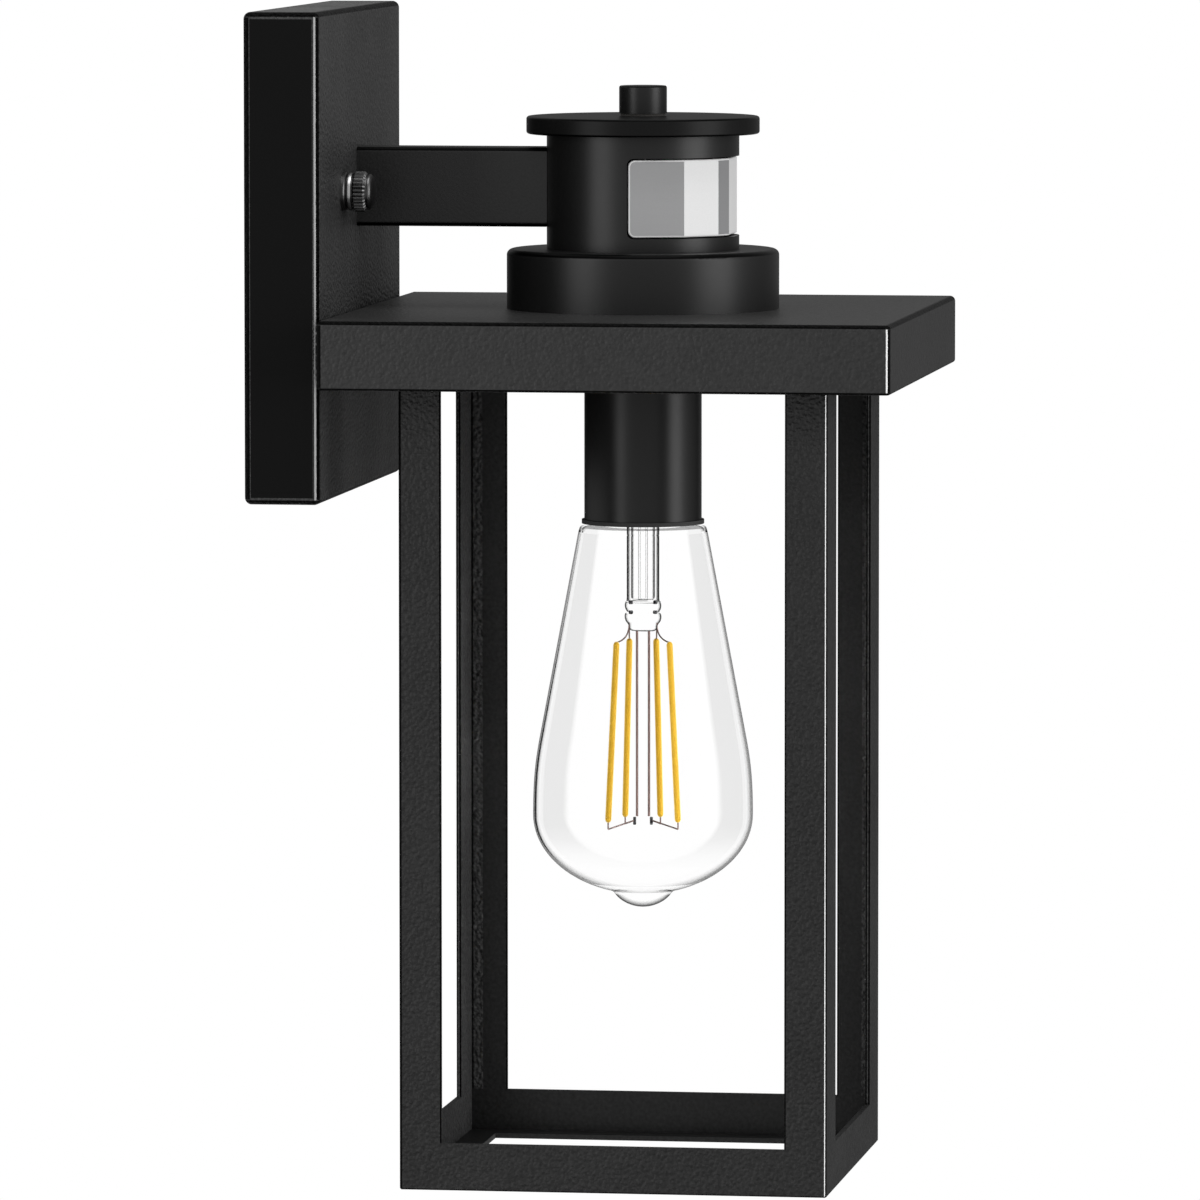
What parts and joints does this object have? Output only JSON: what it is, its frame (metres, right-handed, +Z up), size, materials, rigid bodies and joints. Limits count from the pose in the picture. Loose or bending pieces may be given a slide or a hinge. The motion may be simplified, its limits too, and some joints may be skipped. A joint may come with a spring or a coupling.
{
  "type": "outdoor wall lantern",
  "caption": "Outdoor wall lantern: wall plate with an arm to a round motion-sensor head over an open square angle frame, with a screw-in filament bulb under a flat roof cap.",
  "frame": {"origin": "middle of the mounting bracket's slots on the wall plane", "axes": "+Z up, +Y into the wall, the lantern's front faces -Y"},
  "size_m": [0.164, 0.187, 0.3376],
  "materials": {
    "powder_coat": "fine-textured black powder coat",
    "satin_black": "smooth satin black enamel",
    "nut_black": "glossy black lacquer on a knurled nut",
    "zinc_steel": "zinc plated",
    "ground_green": "green lacquer",
    "washer_fibre": "black fibre",
    "lens_plastic": "milky moulded lens plastic",
    "circuit_board": "green solder mask",
    "sensor_can": "nickel plated can",
    "relay_plastic": "moulded case",
    "capacitor_sleeve": "shrink sleeve",
    "holder_ceramic": "unglazed steatite",
    "shell_aluminium": "rolled shell",
    "contact_brass": "spring leaf",
    "seal_rubber": "soft silicone",
    "clear_glass": "clear blown glass",
    "filament_amber": "amber phosphor strip",
    "lead_wire": "drawn wire",
    "base_brass": "nickel-washed rolled shell",
    "insulator_black": "black glass-like filler",
    "tip_solder": "tinned contact"
  },
  "bodies": {
    "fixture": {"arm_plug": "zinc_steel", "arm_screws": "zinc_steel", "arm_set_screw": "zinc_steel", "arm_tube": "satin_black", "board_screws": "zinc_steel", "bottom_rail_back": "powder_coat", "bottom_rail_front": "powder_coat", "bottom_rail_left": "powder_coat", "bottom_rail_right": "powder_coat", "capacitor": "capacitor_sleeve", "centre_rod": "zinc_steel", "collar": "satin_black", "control_board": "circuit_board", "corner_post_back_left": "powder_coat", "corner_post_back_right": "powder_coat", "corner_post_front_left": "powder_coat", "corner_post_front_right": "powder_coat", "frame_screws": "zinc_steel", "ground_screw": "ground_green", "mounting_bracket": "zinc_steel", "mounting_studs": "zinc_steel", "pir_sensor": "sensor_can", "relay": "relay_plastic", "rod_nuts": "zinc_steel", "roof_cap": "powder_coat", "sensor_board": "circuit_board", "sensor_housing": "satin_black", "sensor_lens": "lens_plastic", "sensor_lid": "satin_black", "socket_body": "holder_ceramic", "socket_contact": "contact_brass", "socket_cup": "satin_black", "socket_shell": "shell_aluminium", "stud_lock_nuts": "zinc_steel", "top_rail_back": "powder_coat", "top_rail_front": "powder_coat", "top_rail_left": "powder_coat", "top_rail_right": "powder_coat", "wall_plate": "powder_coat"},
    "bulb_ring": {"bulb_seal": "seal_rubber"},
    "bulb": {"bulb_glass": "clear_glass", "bulb_stem": "clear_glass", "bulb_filaments": "filament_amber", "bulb_wires": "lead_wire", "bulb_base": "base_brass", "bulb_insulator": "insulator_black", "bulb_tip": "tip_solder"},
    "washer_left": {"nut_washer_left": "nut_black"},
    "nut_left": {"cap_nut_left": "nut_black"},
    "washer_right": {"nut_washer_right": "nut_black"},
    "nut_right": {"cap_nut_right": "nut_black"},
    "finial_ring": {"finial_washer": "washer_fibre"},
    "finial_nut": {"finial": "satin_black"}
  },
  "joints": [
    {"name": "bulb_travel", "type": "slide", "parent": "fixture", "child": "bulb_ring", "axis": [0, 0, -1], "range_m": [0, 0.0236]},
    {"name": "bulb_turn", "type": "hinge", "parent": "bulb_ring", "child": "bulb", "pos_m": [0, -0.105, -0.097], "axis": [0, 0, -1], "range_deg": [0, 2341]},
    {"name": "left_nut_travel", "type": "slide", "parent": "fixture", "child": "washer_left", "axis": [0, -1, 0], "range_m": [0, 0.0056]},
    {"name": "left_nut_turn", "type": "hinge", "parent": "washer_left", "child": "nut_left", "pos_m": [-0.03, -0.023, 0], "axis": [0, -1, 0], "range_deg": [0, 2881]},
    {"name": "right_nut_travel", "type": "slide", "parent": "fixture", "child": "washer_right", "axis": [0, -1, 0], "range_m": [0, 0.0056]},
    {"name": "right_nut_turn", "type": "hinge", "parent": "washer_right", "child": "nut_right", "pos_m": [0.03, -0.023, 0], "axis": [0, -1, 0], "range_deg": [0, 2881]},
    {"name": "finial_travel", "type": "slide", "parent": "fixture", "child": "finial_ring", "axis": [0, 0, 1], "range_m": [0, 0.005]},
    {"name": "finial_turn", "type": "hinge", "parent": "finial_ring", "child": "finial_nut", "pos_m": [0, -0.105, 0.022], "axis": [0, 0, 1], "range_deg": [0, 1801]}
  ],
  "couplings": [
    {"joint": "bulb_turn", "follows": "bulb_travel", "rad_per_m": 1730.9},
    {"joint": "left_nut_turn", "follows": "left_nut_travel", "rad_per_m": 8976},
    {"joint": "right_nut_turn", "follows": "right_nut_travel", "rad_per_m": 8976},
    {"joint": "finial_turn", "follows": "finial_travel", "rad_per_m": 6283.2}
  ]
}
